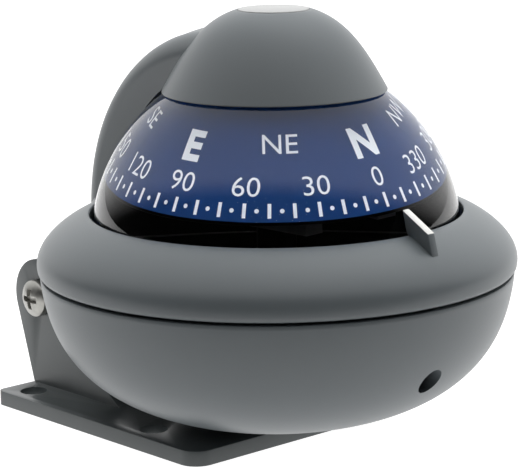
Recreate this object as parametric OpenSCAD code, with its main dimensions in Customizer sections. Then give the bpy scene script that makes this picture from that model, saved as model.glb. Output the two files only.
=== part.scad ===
// Bracket-mount marine compass: a fluid-filled dome and card in a round case that tilts on a bracket.
// Millimetres, +Z up, the lubber pointer faces -Y. The origin is on the underside of the base plate,
// at the centre of its four screw holes.

/* [Bracket] */
// Width of the base plate
plate_w = 41.4; // [40:0.2:60]
// Depth of the base plate, front to back
plate_d = 47; // [45:0.5:60]
// Thickness of the base plate
plate_t = 2.2; // [1.6:0.1:4]
// Radius of the plate's front corners
front_corner_r = 3; // [1:0.5:6]
// Radius of the plate's rear corners
rear_corner_r = 1.2; // [0.6:0.2:4]
// Distance from the screw holes to the plate's side edges
hole_side = 3.7; // [3:0.1:4.2]
// Distance from the rear screw holes to the plate's rear edge
hole_rear = 4.5; // [3.5:0.5:12]
// Distance from the front screw holes to the plate's front edge
hole_front = 13.5; // [5:0.5:20]
// Diameter of the screw holes
hole_d = 4.2; // [3:0.1:4.6]
// Thickness of each ear
ear_t = 2.6; // [2:0.1:2.8]
// Distance from the ears' outer faces to the plate's side edges
ear_side = 7.2; // [6.8:0.1:9]
// Radius of the round end of each ear
ear_r = 6; // [4.5:0.1:7]
// How far the front of each ear's foot reaches ahead of the pivot
ear_foot = 21; // [12:0.5:24]
// Least gap between the ears' front edges and the bowl
ear_bowl_gap = 1; // [0.8:0.1:3]
// Radius of the hollow in the ears' front edges
ear_curve_r = 29.5; // [26:0.1:32]
// Distance of that hollow's centre behind the case's axis
ear_curve_y = 5.5; // [3:0.1:8]
// Height of that hollow's centre above the seam
ear_curve_z = 2.5; // [0:0.1:5]
// Radius of the small rounding between ear and plate
ear_fillet = 1; // [0.5:0.1:2]

/* [Pivot] */
// Height of the pivot above the plate
pivot_h = 13.8; // [12:0.1:20]
// Distance from the pivot to the plate's rear edge
pivot_rear = 2; // [0:0.1:6]
// Diameter of the pivot screws' shanks
screw_d = 3; // [2.5:0.1:4]
// Diameter of the pivot screws' heads
head_d = 5.7; // [5:0.1:8]
// Height of the pivot screws' heads
head_h = 2; // [1.4:0.1:3]
// Running clearance of the shanks in the ears, on the radius
pivot_clear = 0.05; // [0.02:0.01:0.1]
// Side clearance between the moving parts and the ears
side_clear = 0.1; // [0.05:0.05:0.3]
// Diameter of the friction washers
washer_d = 9; // [7:0.5:11]
// Thickness of the friction washers
washer_t = 0.5; // [0.3:0.1:1]
// Outer diameter of the threaded inserts
insert_d = 4.8; // [4.4:0.1:6]
// Length of the threaded inserts
insert_len = 5; // [3:0.5:6]
// Radius of the hinge lug
lug_r = 6.4; // [5:0.1:7.5]
// Width of each half of the hinge lug
lug_half = 6.5; // [6.2:0.1:7.5]
// Thickness of the web that joins the halves of the lug
lug_web = 2.2; // [1.5:0.1:4]

/* [Case] */
// Radius of the case at its seam
seam_r = 34.4; // [33.6:0.1:38]
// How far the pivot lies behind the case's seam
pivot_out = 5.6; // [5:0.1:12]
// Gap between the bowl and the plate
plate_gap = 0.6; // [0.4:0.1:3]
// Depth of the bowl below the seam
bowl_depth = 22.1; // [21:0.1:30]
// Height over which the bowl's side runs down before it rounds in
bowl_side = 7.8; // [5:0.1:10]
// How far the bowl's side leans in over that height
bowl_lean = 0.9; // [0:0.1:3]
// How far the bowl's lower curve starts inside the seam
bowl_tuck = 3.6; // [2:0.1:6]
// Wall thickness of the case mouldings
case_wall = 2.2; // [1.6:0.1:2.6]
// Height of the open groove at the seam
seam_gap = 0.4; // [0.2:0.05:0.6]
// Height of the ring's lip above the seam
lip_h = 8.7; // [8:0.1:11]
// Width of the land on the lip, next to the dome's gap
lip_land = 0.1; // [0.05:0.05:0.3]
// How far the ring's side curve pulls out past the seam
ring_bulge = 2.2; // [0.5:0.1:3]
// Height of that pull above the seam
ring_bulge_h = 5; // [3:0.1:6]
// How far the ring's crown curve pulls up past the lip
ring_crown = 0.55; // [0.2:0.05:1.5]
// Depth of the tongue that locates the two halves of the case
tongue_h = 2.2; // [1.5:0.1:2.4]
// Thickness of that tongue
tongue_t = 0.8; // [0.6:0.1:1]
// Clearance of that tongue
tongue_clear = 0.08; // [0.05:0.01:0.15]

/* [Dome and hood] */
// Width of the ring, from the seam in to the dome
ring_w = 7.6; // [7.2:0.1:8.4]
// Height of the dome's centre above the seam
dome_h = 4.2; // [3:0.1:5]
// Wall thickness of the dome
dome_wall = 1.6; // [1:0.1:2]
// Gap between the dome and the case round it
dome_gap = 0.5; // [0.3:0.05:1]
// Gap between the dome's flange and the ring's tongue
flange_gap = 0.32; // [0.2:0.02:0.8]
// Thickness of the dome's flange
flange_t = 1.8; // [1.6:0.1:2.4]
// Radius of the hood at its rim
hood_r = 16.1; // [14:0.1:18]
// Height of the hood, from its rim to its crown
hood_h = 12.05; // [11:0.05:16]
// How far the hood's side curve pulls in from its rim
hood_side_in = 4; // [1:0.1:6]
// Height of that pull above the hood's rim
hood_side_h = 7.4; // [5:0.1:9]
// How far inside the rim the hood's crown turns flat
hood_crown_in = 7.2; // [5:0.1:9]
// Wall thickness of the hood
hood_wall = 2; // [1.4:0.1:2.6]
// Width of the arm that carries the hood
arm_w = 20.2; // [16:0.2:22]
// How much larger the arm's outer radius is than the dome's
arm_over = 3; // [2.5:0.1:4]
// Rounding of the arm's outer edges
arm_round = 3.5; // [2.5:0.1:3.6]
// Height of the arm's own centre above the dome's centre
arm_rise = 1.55; // [0.5:0.05:2]
// Distance of the arm's own centre behind the dome's centre
arm_back = 3.8; // [2:0.1:4.5]
// Diameter of the inlay on the hood's crown
disc_d = 10.2; // [8:0.2:14]
// Thickness of the inlay
disc_t = 0.9; // [0.6:0.1:1.2]
// How far the inlay's top lies below the hood's crown
disc_drop = 0.6; // [0.4:0.05:0.8]

/* [Lubber pointer] */
// Thickness of the pointer
lubber_t = 1.3; // [1:0.1:3]
// Height of the pointer's inner tip above the seam
lubber_tip_h = 12.2; // [10:0.1:15]
// Height of the pointer's outer end above the seam
lubber_end_h = 9.5; // [8:0.1:12]
// How far the top of the pointer's outer end lies inside the seam
lubber_end_in = 3.5; // [2:0.1:5]
// How far the pointer's outer face slopes out to its foot
lubber_slope = 0.8; // [0:0.1:1.5]
// Gap between the pointer's tip and the dome
lubber_gap = 0.5; // [0.4:0.1:2]
// Depth of the pointer's root in the ring
lubber_root = 1.2; // [0.6:0.1:2]

/* [Capsule] */
// Depth of the capsule's cup below its flange
cup_depth = 5.8; // [5:0.1:6]
// Wall thickness of the cup
cup_wall = 1.6; // [1.2:0.1:2]
// Thickness of the cup's flange
cup_flange_t = 2; // [1.6:0.1:2.4]
// Depth of the capsule's joint below the seam
joint_drop = 0.6; // [0.4:0.1:1]
// Thickness of the O-ring
seal_d = 1.3; // [1:0.1:1.6]
// How far the O-ring is squeezed
seal_squeeze = 0.2; // [0.1:0.05:0.3]
// Number of capsule screws
capsule_screw_n = 6; // [4:1:10]
// Distance from the dome's face out to the capsule screws' axes
capsule_screw_out = 1.4; // [1.2:0.1:1.6]
// Diameter of the capsule screws
capsule_screw_d = 1.8; // [1.6:0.1:2]
// Diameter of the capsule screws' heads
capsule_head_d = 3; // [2.6:0.1:3.2]
// Diameter of the diaphragm
diaphragm_d = 14; // [10:0.5:16]
// Thickness of the diaphragm
diaphragm_t = 0.6; // [0.4:0.1:1]
// Distance of the diaphragm behind the case's axis
diaphragm_y = 13.5; // [12:0.5:14]
// Thickness of the ring that clamps the diaphragm
clamp_t = 1; // [0.8:0.1:1.2]
// Width of that ring's rim
clamp_rim = 1.5; // [1:0.1:2]
// Diameter of the filler plug's thread
plug_d = 4; // [3:0.1:5]

/* [Card] */
// Gap between the card's lower edge and the dome's inside
card_low_gap = 5.31; // [4:0.01:8]
// Height of the card's lower edge above the seam
card_low_h = 9.8; // [9.6:0.1:11]
// Gap between the card's top edge and the dome's inside
card_top_gap = 3.43; // [2:0.01:6]
// How far the card's top lies below the dome's inner crown
card_crown_gap = 5.2; // [4:0.1:9]
// Thickness of the card
card_t = 0.8; // [0.5:0.1:1.2]
// Heading that the card shows at the lubber pointer
card_heading = 4.9; // [0:0.1:359]
// Thickness of the card's hub plate
hub_t = 1.2; // [0.8:0.1:2]
// Radius of the hub's boss
hub_r = 3; // [2.6:0.1:4]
// Radius of the windows in the hub plate
hub_window_r = 4; // [2:0.1:4.5]
// Radius of the jewel
jewel_r = 1.5; // [1:0.1:1.8]
// Height of the jewel
jewel_h = 1.8; // [1.4:0.1:2.4]
// Height of the pivot point above the seam
point_h = 10; // [9.6:0.1:10.4]
// Gap between the point and the jewel
point_gap = 0.05; // [0.02:0.01:0.1]
// Diameter of the pivot pin
pin_d = 1; // [0.6:0.1:1.4]
// Length of the pivot pin's taper
pin_taper = 1.2; // [0.8:0.1:1.6]
// How far the pin stands above its post
pin_up = 3; // [2:0.1:4]
// How deep the pin sits in its post
pin_in = 4; // [2:0.5:6]
// Diameter of the pivot post
post_d = 4; // [3:0.1:5]
// Diameter of the pivot post's foot
post_foot_d = 10; // [8:0.5:12]
// Thickness of that foot
post_foot_t = 1.6; // [1:0.1:3]
// Length of the card magnets
magnet_len = 22; // [14:1:24]
// Width of the card magnets
magnet_w = 2.6; // [1.6:0.1:3.4]
// Height of the card magnets
magnet_h = 3; // [2:0.1:4]
// Distance of the card magnets from the axis
magnet_x = 5.5; // [5:0.1:8]

/* [Compensators] */
// Depth of the compensator shafts below the seam
comp_drop = 11.2; // [10.2:0.1:11.4]
// Diameter of the shafts
comp_d = 3.6; // [3.4:0.1:4.4]
// Running clearance of the shafts, on the radius
comp_clear = 0.05; // [0.02:0.01:0.1]
// How far the slotted ends lie inside the bowl's face
comp_recess = 3.4; // [1.5:0.1:4]
// Width of the screwdriver slots
comp_slot_w = 0.8; // [0.6:0.1:1.2]
// Depth of the screwdriver slots
comp_slot_h = 1.2; // [0.8:0.1:1.6]
// Length of the bearing bosses in the bowl
comp_boss_len = 8; // [6:0.5:9]
// Wall thickness of those bosses
comp_boss_wall = 1.7; // [1.2:0.1:2.2]
// Diameter of the collars that keep the shafts in
collar_d = 6; // [5:0.1:6.4]
// Thickness of those collars
collar_t = 1; // [0.8:0.1:1.4]
// End clearance of the shafts
end_clear = 0.3; // [0.2:0.05:0.5]
// Diameter of the journals at the inner ends
journal_d = 2; // [1.6:0.1:2.6]
// Length of the rod magnets
rod_len = 7; // [5:0.2:7]
// Diameter of the rod magnets
rod_d = 2.4; // [1.6:0.1:2.6]
// Distance of the rod magnets from the case's axis
rod_at = 17.5; // [17:0.1:18.5]
// Radius of the compensator frame's base
frame_r = 14; // [13.6:0.1:15]
// Thickness of the frame's base
frame_t = 1.8; // [1.4:0.1:2.4]
// Distance of the frame's posts from the case's axis
frame_post_at = 9.6; // [9:0.1:10]
// Thickness of the frame's posts
frame_post_t = 3; // [2.4:0.1:3.2]
// Width of the frame's posts
frame_post_w = 8; // [6:0.1:9]
// Height of the frame's posts above the shafts
frame_post_up = 2.6; // [1.8:0.1:2.8]
// Height of the pads under the frame above the bowl's outer floor
frame_pad_h = 4.3; // [4:0.1:5]
// Diameter of the frame's screws
frame_screw_d = 2.5; // [2:0.1:3]
// Diameter of the frame screws' heads
frame_head_d = 4.6; // [4:0.1:5]
// Distance of the frame's screws from the case's axis
frame_screw_at = 10.6; // [10:0.1:11]

/* [Night light] */
// Diameter of the lamp
lamp_d = 3; // [2.6:0.1:3.4]
// Length of the lamp, with its round end
lamp_len = 4.6; // [4:0.1:5]
// Width of the lamp holder
holder_w = 5; // [4.4:0.1:7]
// Height of the lamp holder
holder_h = 6; // [5:0.1:7]
// Direction of the lamp from the front, towards the right side
lamp_turn = 30; // [25:1:35]
// Distance from the capsule's cup out to the lamp's axis
lamp_out = 1.9; // [1.8:0.1:2.1]
// Direction of the wire outlet from the rear, towards the right side
outlet_turn = 38; // [34:1:50]
// Depth of the wire outlet below the seam
outlet_drop = 11; // [9:0.1:12]
// Diameter of the wire outlet's hole
outlet_d = 5; // [4:0.1:6]
// Diameter of the grommet's flanges
grommet_d = 8; // [7.5:0.1:9]
// Thickness of the grommet's flanges
grommet_t = 1; // [0.8:0.1:1.4]
// Diameter of the hole for the lead
lead_d = 2.4; // [1.6:0.1:3]

/* [Hidden] */

$fn = 96;
// A little extra length where one shape cuts or meets another
eps = 0.01;
cut = 1;

// The case's own frame stands on its axis, at the height of the seam
hole_span_x = plate_w - 2 * hole_side;
hole_span_y = plate_d - hole_front - hole_rear;
plate_rear = hole_span_y / 2 + hole_rear;
plate_front = plate_rear - plate_d;
pivot_y = plate_rear - pivot_rear;
pivot_z = plate_t + pivot_h;
reach = seam_r + pivot_out;
axis_y = pivot_y - reach;
seam_z = plate_t + plate_gap + bowl_depth;
case_pivot_y = reach;
case_pivot_z = pivot_z - seam_z;

// Ears and lug
ear_out = plate_w / 2 - ear_side;
ear_in = ear_out - ear_t;
lug_x = ear_in - side_clear - washer_t;

// Profiles of the case, each a cubic curve of radius and height
half_gap = seam_gap / 2;
dome_r = seam_r - ring_w;
bowl_shoulder = seam_r - bowl_tuck;
lip_r = sqrt(pow(dome_r + dome_gap, 2) - pow(lip_h - dome_h, 2)) + lip_land;
bowl_curve = [[seam_r, 0], [seam_r - bowl_lean, -bowl_side], [bowl_shoulder, -bowl_depth], [0, -bowl_depth]];
bowl_inside = [
    [seam_r - case_wall, 0], [seam_r - bowl_lean - case_wall, -bowl_side],
    [bowl_shoulder - case_wall, case_wall - bowl_depth], [0, case_wall - bowl_depth]
];
ring_curve = [
    [seam_r, 0], [seam_r + ring_bulge, ring_bulge_h], [lip_r + ring_crown, lip_h + ring_crown], [lip_r, lip_h]
];
ring_inside = [
    [seam_r - case_wall, 0], [seam_r + ring_bulge - case_wall, ring_bulge_h - case_wall / 2],
    [lip_r + ring_crown, lip_h + ring_crown - case_wall], [lip_r, lip_h - case_wall]
];
hood_rim_z = dome_h + sqrt(pow(dome_r + dome_gap, 2) - pow(hood_r, 2));
hood_top = hood_rim_z + hood_h;
hood_side_r = hood_r - hood_side_in;
hood_crown_r = hood_r - hood_crown_in;
hood_curve = [
    [hood_r, hood_rim_z], [hood_side_r, hood_rim_z + hood_side_h], [hood_crown_r, hood_top], [0, hood_top]
];
lubber_end_r = seam_r - lubber_end_in;
curve_steps = 16;
// Turn of the arm from the hood down into the ring
arm_sweep = 93;

// Capsule levels, in the case's frame
joint_z = -joint_drop;
tongue_r = seam_r - case_wall - tongue_clear;
flange_r = tongue_r - tongue_t - flange_gap;
flange_top = joint_z + flange_t;
shelf_z = joint_z - cup_flange_t;
cup_out_r = dome_r - dome_gap;
cup_in_r = cup_out_r - cup_wall;
cup_under = joint_z - cup_depth;
cup_floor = cup_under + cup_wall;
seal_r = cup_in_r + cup_wall / 2;
capsule_screw_r = dome_r + capsule_screw_out;
lamp_at = cup_out_r + lamp_out;
capsule_head_h = capsule_head_d / 2 - 0.3;
screw_bite = flange_t - 0.4;
shelf_r = capsule_screw_r + capsule_head_d / 2 + 0.2;

// Card levels, in the case's frame
dome_in_r = dome_r - dome_wall;
card_top_h = dome_h + dome_in_r - card_crown_gap;
card_low_r = sqrt(pow(dome_in_r, 2) - pow(card_low_h - dome_h, 2)) - card_low_gap;
card_top_r = sqrt(pow(dome_in_r, 2) - pow(card_top_h - dome_h, 2)) - card_top_gap;
card_slope = (card_low_r - card_top_r) / (card_top_h - card_low_h);
card_skin = card_t * sqrt(1 + card_slope * card_slope);
hub_low = card_low_h + 0.3;
jewel_low = point_h - 0.4;
post_top = point_h - pin_up;

// Compensator places, in the case's frame
comp_face_r = curve_r_at(bowl_curve, -comp_drop);
comp_end = comp_face_r - comp_recess;
comp_boss_end = comp_face_r - comp_boss_len;
frame_z = frame_pad_h - bowl_depth;
post_far = frame_post_at + frame_post_t;

function mix(a, b, t) = a + (b - a) * t;
function curve(p, t) =
    pow(1 - t, 3) * p[0] + 3 * pow(1 - t, 2) * t * p[1] + 3 * (1 - t) * t * t * p[2] + pow(t, 3) * p[3];
function curve_points(p, n = curve_steps) = [for (i = [0:n]) curve(p, i / n)];
// Place along a curve at which it reaches height z, by halving the interval
function curve_t_at(p, z, lo = 0, hi = 1, n = 24) =
    n == 0 ? (lo + hi) / 2 :
    abs(curve(p, (lo + hi) / 2)[1]) < abs(z) ? curve_t_at(p, z, (lo + hi) / 2, hi, n - 1) :
    curve_t_at(p, z, lo, (lo + hi) / 2, n - 1);
function curve_r_at(p, z) = curve(p, curve_t_at(p, z))[0];
function reversed(v) = [for (i = [len(v) - 1:-1:0]) v[i]];

// Stands its children in the case's own frame
module in_case() {
    translate([0, axis_y, seam_z]) children();
}

// Ring of rectangular section
module band(r_in, r_out, z_low, z_high) {
    rotate_extrude() translate([r_in, z_low]) square([r_out - r_in, z_high - z_low]);
}

// Solid round the case's axis under a curve, down or up to its flat end
module turned(p) {
    rotate_extrude() polygon(concat([[0, p[0][1]]], curve_points(p)));
}

// Cross for a screwdriver, cut down from z = 0
module cross_recess(width, depth, blade) {
    for (turn = [0, 90])
        rotate([0, 0, turn]) translate([-width / 2, -blade / 2, -depth]) cube([width, blade, depth + cut]);
}

// Pan-head screw that stands head up on z = 0, with its shank below
module pan_screw(head, height, shank, length) {
    dome = (pow(head / 2, 2) + pow(height / 2, 2)) / height;
    difference() {
        union() {
            cylinder(d = head, h = height / 2);
            intersection() {
                translate([0, 0, height - dome]) sphere(dome);
                translate([0, 0, height / 2]) cylinder(d = head, h = height);
            }
            translate([0, 0, -length]) cylinder(d = shank, h = length + height / 2);
        }
        translate([0, 0, height]) cross_recess(head * 0.55, height * 0.55, head * 0.14);
    }
}

// Rectangle of the base plate with its own radius at the front and rear corners
module plate_outline() {
    half = plate_w / 2;
    difference() {
        translate([-half, plate_front]) square([plate_w, plate_d]);
        for (side = [-1, 1]) {
            translate([side * half, plate_front]) corner_waste(-side, 1, front_corner_r);
            translate([side * half, plate_rear]) corner_waste(-side, -1, rear_corner_r);
        }
    }
}

// What a rounded corner takes off, with the corner at the origin
module corner_waste(dir_x, dir_y, r) {
    difference() {
        translate([dir_x * r / 2, dir_y * r / 2]) square(r + 2 * eps, center = true);
        translate([dir_x * r, dir_y * r]) circle(r);
    }
}

// Side view of an ear, with y to the right and z up
module ear_outline() {
    pivot = [pivot_y, pivot_z];
    heel = [plate_rear, plate_t - eps];
    down = heel - pivot;
    turn = atan2(down[1], down[0]) + acos(ear_r / norm(down));
    brow = pivot + ear_r * [cos(135), sin(135)];
    toe_y = pivot_y - ear_foot;
    difference() {
        union() {
            translate(pivot) circle(ear_r);
            polygon([
                heel, pivot + ear_r * [cos(turn), sin(turn)], pivot, brow,
                [toe_y, max(brow[1] + toe_y - brow[0], plate_t)], [toe_y, plate_t - eps]
            ]);
        }
        ear_bowl_cut();
    }
}

// Room for the bowl in front of the ears, with a round hollow in their front edges
module ear_bowl_cut() {
    translate([axis_y + ear_curve_y, seam_z + ear_curve_z]) circle(ear_curve_r);
    wide = [for (p = curve_points(bowl_curve)) if (p[0] > ear_in)
        [axis_y + sqrt(p[0] * p[0] - ear_in * ear_in) + ear_bowl_gap, seam_z + p[1]]];
    low = wide[len(wide) - 1];
    polygon(concat([[axis_y, seam_z]], wide, [[axis_y, low[1]]]));
}

module bracket() {
    color("#4c5152")
    difference() {
        union() {
            linear_extrude(plate_t) plate_outline();
            for (side = [-1, 1])
                translate([side * (ear_in + ear_t / 2) - ear_t / 2, 0, 0])
                    rotate([90, 0, 90]) linear_extrude(ear_t) ear_outline();
            for (side = [-1, 1]) ear_root(side);
        }
        for (x = [-1, 1], y = [-1, 1])
            translate([x * hole_span_x / 2, y * hole_span_y / 2, -cut])
                cylinder(d = hole_d, h = plate_t + 2 * cut);
        translate([-ear_out - cut, pivot_y, pivot_z])
            rotate([0, 90, 0]) cylinder(d = screw_d + 2 * pivot_clear, h = 2 * (ear_out + cut));
    }
}

// Small rounding along the inner foot of an ear
module ear_root(side) {
    length = ear_foot - 3 * ear_fillet;
    translate([side * ear_in, pivot_y - length, plate_t])
        rotate([-90, 0, 0]) linear_extrude(length) difference() {
            translate([side > 0 ? -ear_fillet : -eps, -ear_fillet])
                square([ear_fillet + eps, ear_fillet + eps]);
            translate([-side * ear_fillet, -ear_fillet]) circle(ear_fillet, $fn = 32);
        }
}

// Places its children at the outside of each ear, facing outwards along +Z
module at_ears(x) {
    for (side = [-1, 1])
        translate([side * x, pivot_y, pivot_z]) rotate([0, side * 90, 0]) children();
}

module pivot_screws() {
    color("#c9cac8")
    at_ears(ear_out + side_clear)
        pan_screw(head_d, head_h, screw_d, ear_t + 2 * side_clear + washer_t + insert_len);
}

module friction_washers() {
    color("#1d1e1f")
    at_ears(lug_x) difference() {
        cylinder(d = washer_d, h = washer_t);
        translate([0, 0, -cut]) cylinder(d = screw_d + 4 * pivot_clear, h = washer_t + 2 * cut);
    }
}

module pivot_inserts() {
    color("#b8923f")
    at_ears(lug_x - insert_len) difference() {
        cylinder(d = insert_d, h = insert_len);
        translate([0, 0, -cut]) cylinder(d = screw_d + 2 * eps, h = insert_len + 2 * cut);
    }
}

// Hinge lug at the rear of the bowl: two halves joined by a web along the top
module hinge_lug() {
    low = case_pivot_z - lug_r;
    difference() {
        translate([-lug_x, 0, 0]) rotate([90, 0, 90]) linear_extrude(2 * lug_x) union() {
            translate([case_pivot_y, case_pivot_z]) circle(lug_r);
            translate([bowl_shoulder - 2 * case_wall, low])
                square([case_pivot_y - bowl_shoulder + 2 * case_wall, 2 * lug_r]);
        }
        translate([lug_half - lug_x, 0, low - cut])
            cube([2 * (lug_x - lug_half), case_pivot_y + 2 * lug_r, 2 * lug_r + cut - lug_web]);
    }
}

// Boss for a compensator shaft, pointing to the front
module comp_boss() {
    translate([0, -comp_boss_end, -comp_drop]) rotate([90, 0, 0])
        cylinder(d = comp_d + 2 * (comp_clear + comp_boss_wall), h = comp_boss_len + case_wall);
}

module comp_bore() {
    translate([0, -comp_boss_end + cut, -comp_drop]) rotate([90, 0, 0])
        cylinder(d = comp_d + 2 * comp_clear, h = comp_boss_len + case_wall + 2 * cut);
}

// Points its children out of the bowl at the wire outlet, square to the bowl's face
module at_outlet() {
    t = curve_t_at(bowl_curve, -outlet_drop);
    p = curve(bowl_curve, t);
    q = curve(bowl_curve, t + 0.01);
    slope = atan2(p[0] - q[0], p[1] - q[1]);
    rotate([0, 0, -outlet_turn]) translate([0, p[0], p[1]]) rotate([-90 - slope, 0, 0]) children();
}

module lower_case() {
    color("#8a8d92")
    in_case() difference() {
        intersection() {
            union() {
                difference() {
                    turned(bowl_curve);
                    turned(bowl_inside);
                }
                bowl_shelf();
                for (turn = [0, 90]) rotate([0, 0, turn]) comp_boss();
                translate([0, 0, -bowl_depth]) difference() {
                    cylinder(r = frame_r, h = frame_pad_h);
                    translate([0, 0, case_wall])
                        cylinder(r = frame_screw_at - frame_head_d / 2, h = frame_pad_h);
                }
                intersection() {
                    at_outlet() translate([0, 0, -case_wall - grommet_t])
                        cylinder(d = grommet_d + case_wall, h = case_wall + grommet_t);
                    turned(bowl_curve);
                }
                difference() {
                    hinge_lug();
                    turned(bowl_inside);
                }
            }
            // Everything but the lug stays inside the bowl's own face
            union() {
                turned(bowl_curve);
                hinge_lug();
            }
        }
        translate([0, 0, -half_gap]) cylinder(r = seam_r + cut, h = seam_gap);
        // Straight rebate for the tongue, down to the shelf
        translate([0, 0, shelf_z]) cylinder(r = seam_r - case_wall, h = -shelf_z + cut);
        snap_groove();
        for (turn = [0, 90]) rotate([0, 0, turn]) comp_bore();
        translate([0, case_pivot_y, case_pivot_z]) for (side = [-1, 1])
            translate([side * lug_x, 0, 0]) rotate([0, -side * 90, 0])
                translate([0, 0, -cut]) cylinder(d = insert_d + 2 * eps, h = insert_len + cut);
        for (turn = [45, 225]) rotate([0, 0, turn])
            translate([frame_screw_at, 0, frame_z - frame_pad_h + case_wall])
                cylinder(d = frame_screw_d + 2 * eps, h = frame_pad_h);
        at_outlet() {
            translate([0, 0, -case_wall - 2 * grommet_t])
                cylinder(d = outlet_d, h = 2 * case_wall + 4 * grommet_t);
            translate([0, 0, -grommet_t / 2]) cylinder(d = grommet_d + 2 * eps, h = 2 * grommet_t);
            translate([0, 0, -case_wall - 3 * grommet_t])
                cylinder(d = grommet_d + 2 * eps, h = 2 * grommet_t);
        }
    }
}

// Shelf inside the bowl that the capsule sits on
module bowl_shelf() {
    depth = seam_r - shelf_r;
    rotate_extrude() polygon([
        [shelf_r, shelf_z], [shelf_r, shelf_z - case_wall / 2],
        [shelf_r + depth, shelf_z - case_wall / 2 - depth], [shelf_r + depth, shelf_z]
    ]);
}

// Groove in the bowl's wall and bead on the ring's tongue, which snap together
module snap_groove() {
    r = seam_r - case_wall;
    bead = tongue_h / 4;
    rotate_extrude() translate([r, -tongue_h / 2])
        polygon([[-cut, bead], [0, bead], [bead / 2, 0], [0, -bead], [-cut, -bead]]);
}

module upper_case() {
    bead = tongue_h / 5;
    color("#8a8d92")
    in_case() difference() {
        union() {
            difference() {
                turned(ring_curve);
                turned(ring_inside);
                translate([0, 0, -cut]) cylinder(r = lip_r - cut, h = lip_h + 2 * cut);
                translate([0, 0, -half_gap]) cylinder(r = seam_r + cut, h = seam_gap);
            }
            band(tongue_r - tongue_t, seam_r - case_wall / 2, half_gap, tongue_h);
            rotate_extrude() polygon([
                [tongue_r - tongue_t, half_gap + eps], [tongue_r - tongue_t, -tongue_h],
                [tongue_r, -tongue_h],
                [tongue_r, -tongue_h / 2 - bead], [tongue_r + bead / 2, -tongue_h / 2],
                [tongue_r, -tongue_h / 2 + bead], [tongue_r, half_gap + eps]
            ]);
            hold_down();
            difference() {
                union() {
                    turned(hood_curve);
                    hood_arm();
                }
                hood_hollow();
            }
        }
        translate([0, 0, dome_h]) sphere(dome_r + dome_gap);
        translate([0, 0, joint_z]) cylinder(r = dome_r + dome_gap, h = dome_h - joint_z);
        translate([0, 0, hood_top - disc_drop - disc_t]) cylinder(d = disc_d + 4 * eps, h = hood_top);
        lubber_slot();
    }
}

// Wall under the ring that presses on the dome's flange
module hold_down() {
    inner = flange_r - case_wall / 2 - tongue_t;
    intersection() {
        band(inner, flange_r - case_wall / 4, flange_top, lip_h);
        turned(ring_curve);
    }
}

// Arm from the ring over the rear of the dome to the hood: a section swept round the dome's side axis
module hood_arm() {
    half = arm_w / 2;
    flat = half - arm_round;
    arm_out = dome_r + arm_over;
    arm_in = sqrt(dome_r * dome_r - half * half) - arm_rise - arm_back;
    crown = [for (i = [0:8]) let (x = mix(-flat, flat, i / 8)) [sqrt(arm_out * arm_out - x * x), x]];
    edge = crown[0][0] - arm_round;
    turns = [for (a = [0:22.5:67.5]) a];
    left_edge = [for (a = turns) [edge + arm_round * sin(a), -flat - arm_round * cos(a)]];
    right_edge = [for (a = reversed(turns)) [edge + arm_round * sin(a), flat + arm_round * cos(a)]];
    translate([0, arm_back, dome_h + arm_rise]) rotate([0, -90, 0]) rotate_extrude(angle = arm_sweep)
        polygon(concat([[arm_in, -half]], left_edge, crown, right_edge, [[arm_in, half]]));
}

// Hollow of the hood, one wall inside its face
module hood_hollow() {
    turned([
        [hood_r - hood_wall, 0], [hood_side_r - hood_wall, hood_rim_z + hood_side_h],
        [hood_crown_r - hood_wall, hood_top - hood_wall - disc_t], [0, hood_top - hood_wall - disc_t]
    ]);
}

module crown_disc() {
    color("#d8d9d8")
    in_case() translate([0, 0, hood_top - disc_drop - disc_t]) cylinder(d = disc_d, h = disc_t);
}

// Side view of the lubber pointer, with y forwards to the left and z up
module lubber_outline(extra = 0) {
    tip_r = dome_clear_r(lubber_tip_h);
    low_h = lip_h + ring_crown;
    foot_r = lubber_end_r + lubber_slope;
    root_z = curve_r_z(foot_r) - lubber_root;
    polygon([
        [-tip_r, lubber_tip_h], [-lubber_end_r, lubber_end_h], [-foot_r, curve_r_z(foot_r)],
        [-foot_r - extra, root_z - extra], [-lip_r - lubber_root + extra, root_z - extra],
        [-lip_r - lubber_root + extra, lip_h - lubber_root], [-dome_clear_r(low_h), low_h]
    ]);
}
// Radius that clears the dome by the pointer's gap at a height
function dome_clear_r(z) = sqrt(dome_r * dome_r - pow(z - dome_h, 2)) + lubber_gap;
// Height of the ring's face at a radius outside its lip, by halving the interval
function curve_r_z(r, lo = 0.3, hi = 1, n = 24) =
    n == 0 ? curve(ring_curve, lo)[1] :
    curve(ring_curve, (lo + hi) / 2)[0] > r ? curve_r_z(r, (lo + hi) / 2, hi, n - 1) :
    curve_r_z(r, lo, (lo + hi) / 2, n - 1);

module lubber_slot() {
    translate([-lubber_t / 2 - eps, 0, 0]) rotate([90, 0, 90]) linear_extrude(lubber_t + 2 * eps)
        lubber_outline(eps);
}

module lubber_pointer() {
    color("#e6e6e4")
    in_case() translate([-lubber_t / 2, 0, 0]) rotate([90, 0, 90]) linear_extrude(lubber_t) lubber_outline();
}

module dome() {
    color([0.85, 0.92, 0.95, 0.35])
    in_case() difference() {
        rotate_extrude() difference() {
            union() {
                dome_section(dome_r);
                translate([dome_in_r, joint_z]) square([flange_r - dome_in_r, flange_t]);
            }
            dome_section(dome_in_r);
        }
        at_capsule_screws(joint_z - cut) cylinder(d = capsule_screw_d + 2 * eps, h = screw_bite + cut);
    }
}

// Half section of a dome of radius r: a quarter disc on a straight skirt down to the joint
module dome_section(r) {
    translate([0, joint_z]) square([r, dome_h - joint_z]);
    intersection() {
        translate([0, dome_h]) circle(r, $fn = 128);
        translate([0, dome_h]) square(2 * dome_r);
    }
}

// Places its children on the circle of capsule screws, at height z
module at_capsule_screws(z) {
    for (i = [0:capsule_screw_n - 1])
        rotate([0, 0, 360 * i / capsule_screw_n]) translate([0, -capsule_screw_r, z]) children();
}

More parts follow.
